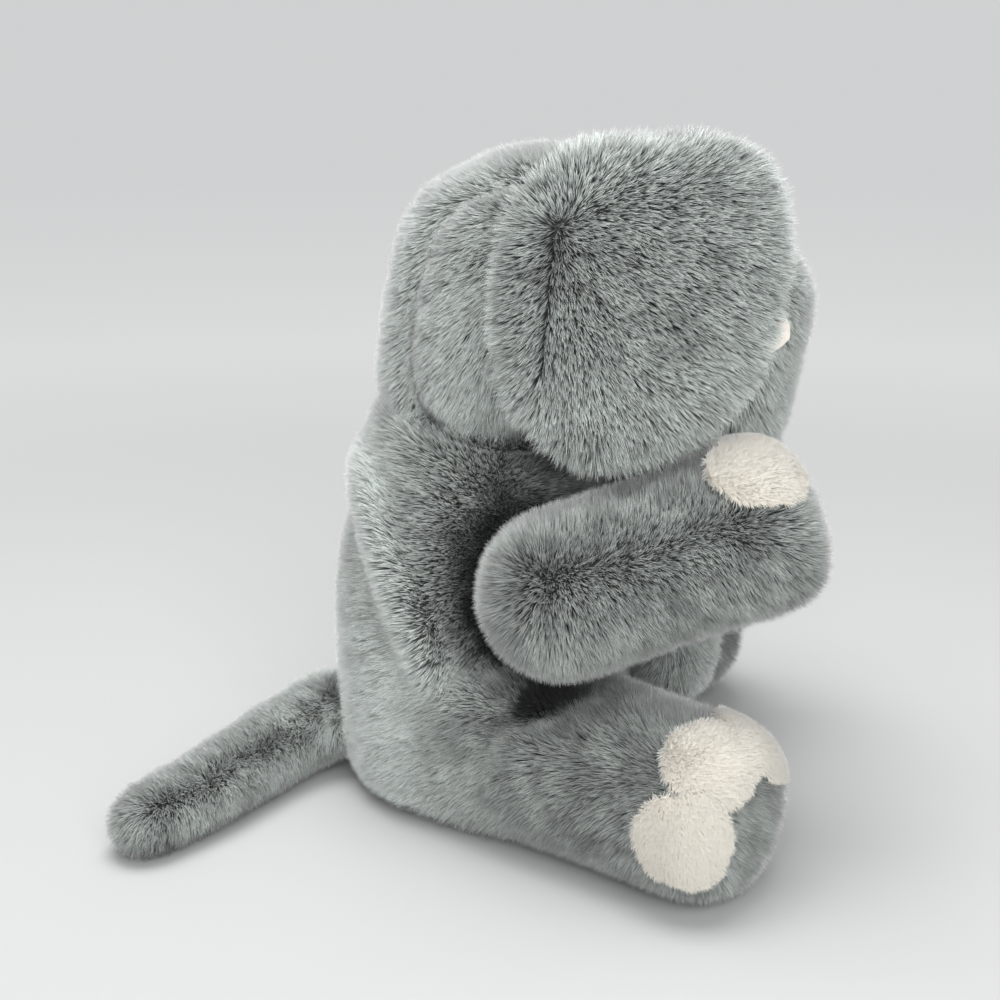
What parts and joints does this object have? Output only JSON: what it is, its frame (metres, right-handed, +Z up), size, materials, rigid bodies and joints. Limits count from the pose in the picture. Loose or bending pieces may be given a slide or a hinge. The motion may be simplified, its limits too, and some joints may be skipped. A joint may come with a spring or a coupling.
{
  "type": "elephant hand puppet",
  "caption": "Sitting plush elephant hand puppet with a lined hand opening in its seat, a finger pocket in its head, flap ears, trunk, stuffed limbs with cream toenails and a tail.",
  "frame": {"origin": "centre of the hand opening in the seat, on the plane that the puppet sits on", "axes": "+Z up, the face looks along -Y, the puppet's right side is at -X"},
  "size_m": [0.2686, 0.2577, 0.2605],
  "materials": {
    "grey_plush": "long cut pile",
    "cream_plush": "short cut pile",
    "lining_cloth": "plain weave",
    "fibre_fill": "loose fibre",
    "black_plastic": "gloss",
    "washer_plastic": "matt"
  },
  "bodies": {
    "torso": {"torso_front_panel": "grey_plush", "torso_back_panel": "grey_plush", "torso_stuffing": "fibre_fill", "hand_lining": "lining_cloth", "opening_hem": "lining_cloth"},
    "head": {"head_gusset": "grey_plush", "chin_panel": "grey_plush", "head_side_left": "grey_plush", "head_side_right": "grey_plush", "head_stuffing": "fibre_fill", "finger_pocket": "lining_cloth", "eye_left": "black_plastic", "eye_right": "black_plastic", "eye_washer_left": "washer_plastic", "eye_washer_right": "washer_plastic"},
    "trunk": {"trunk_skin": "grey_plush", "trunk_stuffing": "fibre_fill"},
    "tail": {"tail_skin": "grey_plush", "tail_stuffing": "fibre_fill"},
    "ear_left": {"ear_left_outer": "grey_plush", "ear_left_lining": "cream_plush"},
    "ear_right": {"ear_right_outer": "grey_plush", "ear_right_lining": "cream_plush"},
    "arm_left": {"arm_left_skin": "grey_plush", "arm_left_stuffing": "fibre_fill", "arm_left_sole": "grey_plush", "arm_left_toenail_1": "cream_plush", "arm_left_toenail_2": "cream_plush", "arm_left_toenail_3": "cream_plush"},
    "arm_right": {"arm_right_skin": "grey_plush", "arm_right_stuffing": "fibre_fill", "arm_right_sole": "grey_plush", "arm_right_toenail_1": "cream_plush", "arm_right_toenail_2": "cream_plush", "arm_right_toenail_3": "cream_plush"},
    "leg_left": {"leg_left_skin": "grey_plush", "leg_left_stuffing": "fibre_fill", "leg_left_sole": "grey_plush", "leg_left_toenail_1": "cream_plush", "leg_left_toenail_2": "cream_plush", "leg_left_toenail_3": "cream_plush"},
    "leg_right": {"leg_right_skin": "grey_plush", "leg_right_stuffing": "fibre_fill", "leg_right_sole": "grey_plush", "leg_right_toenail_1": "cream_plush", "leg_right_toenail_2": "cream_plush", "leg_right_toenail_3": "cream_plush"}
  },
  "joints": [
    {"name": "head_nod", "type": "hinge", "parent": "torso", "child": "head", "pos_m": [0, 0.039, 0.14815], "axis": [-1, 0, 0], "range_deg": [0, 20]},
    {"name": "trunk_lift", "type": "hinge", "parent": "head", "child": "trunk", "pos_m": [0, -0.10039, 0.19609], "axis": [-1, 0, 0], "range_deg": [0, 60]},
    {"name": "ear_left_flap", "type": "hinge", "parent": "head", "child": "ear_left", "pos_m": [0.0665, -0.007, 0.2], "axis": [0, 0, 1], "range_deg": [0, 60]},
    {"name": "ear_right_flap", "type": "hinge", "parent": "head", "child": "ear_right", "pos_m": [-0.0665, -0.007, 0.2], "axis": [0, 0, -1], "range_deg": [0, 60]},
    {"name": "arm_left_swing", "type": "hinge", "parent": "torso", "child": "arm_left", "pos_m": [0.07457, -0.03393, 0.0995], "axis": [0, 0, 1], "range_deg": [0, 40]},
    {"name": "arm_right_swing", "type": "hinge", "parent": "torso", "child": "arm_right", "pos_m": [-0.07457, -0.03393, 0.0995], "axis": [0, 0, -1], "range_deg": [0, 40]},
    {"name": "leg_left_spread", "type": "hinge", "parent": "torso", "child": "leg_left", "pos_m": [0.0689, 0.0042, 0.0335], "axis": [0, 0, 1], "range_deg": [0, 25]},
    {"name": "leg_right_spread", "type": "hinge", "parent": "torso", "child": "leg_right", "pos_m": [-0.0689, 0.0042, 0.0335], "axis": [0, 0, -1], "range_deg": [0, 25]},
    {"name": "tail_wag", "type": "hinge", "parent": "torso", "child": "tail", "pos_m": [0, 0.06456, 0.022], "axis": [0, 0, -1], "range_deg": [-10, 95]}
  ]
}
